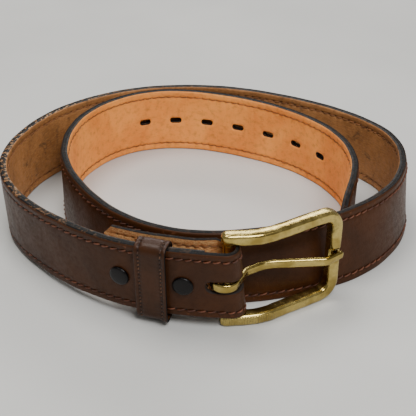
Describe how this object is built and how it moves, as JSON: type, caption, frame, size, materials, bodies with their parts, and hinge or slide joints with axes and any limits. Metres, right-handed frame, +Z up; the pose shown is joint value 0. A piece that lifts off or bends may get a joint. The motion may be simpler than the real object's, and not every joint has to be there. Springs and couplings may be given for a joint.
{
  "type": "leather belt",
  "caption": "Brown leather dress belt coiled on its edge, with a brass heel-bar buckle, a sliding keeper and a snap-fastened flap.",
  "frame": {"origin": "middle of the footprint, on the surface that the belt stands on", "axes": "+Z up, across the strap's width; -Y the front, with the buckle; +X to the right of someone facing the buckle"},
  "size_m": [0.2199, 0.1947, 0.051],
  "materials": {
    "grain_leather": "smooth waxed grain, black painted edges",
    "lining_leather": "matt natural tan",
    "keeper_leather": "smooth waxed grain",
    "thread": "waxed sewing thread",
    "snap_metal": "dark gunmetal plating",
    "steel_wire": "drawn wire",
    "brass": "satin, slightly tarnished"
  },
  "bodies": {
    "strap": {"strap_face": "grain_leather", "strap_lining": "lining_leather", "upper_stitching": "thread", "lower_stitching": "thread", "snap_1_cap": "snap_metal", "snap_1_socket": "snap_metal", "snap_1_stud": "snap_metal", "snap_1_post": "snap_metal", "snap_2_cap": "snap_metal", "snap_2_socket": "snap_metal", "snap_2_stud": "snap_metal", "snap_2_post": "snap_metal"},
    "keeper": {"keeper_band": "keeper_leather", "keeper_staple": "steel_wire", "keeper_stitching_left": "thread", "keeper_stitching_right": "thread"},
    "frame": {"buckle_frame": "brass"},
    "tongue": {"buckle_tongue": "brass"}
  },
  "joints": [
    {"name": "frame_pivot", "type": "hinge", "parent": "strap", "child": "frame", "pos_m": [0.0103, -0.08817, 0.0255], "axis": [0, 0, -1], "range_deg": [0, 90]},
    {"name": "tongue_pivot", "type": "hinge", "parent": "frame", "child": "tongue", "pos_m": [0.0103, -0.08817, 0.0255], "axis": [0, 0, -1], "range_deg": [0, 60]},
    {"name": "keeper_slide", "type": "slide", "parent": "strap", "child": "keeper", "axis": [-0.9603, 0.2791, 0], "range_m": [-0.001, 0.0022]}
  ]
}
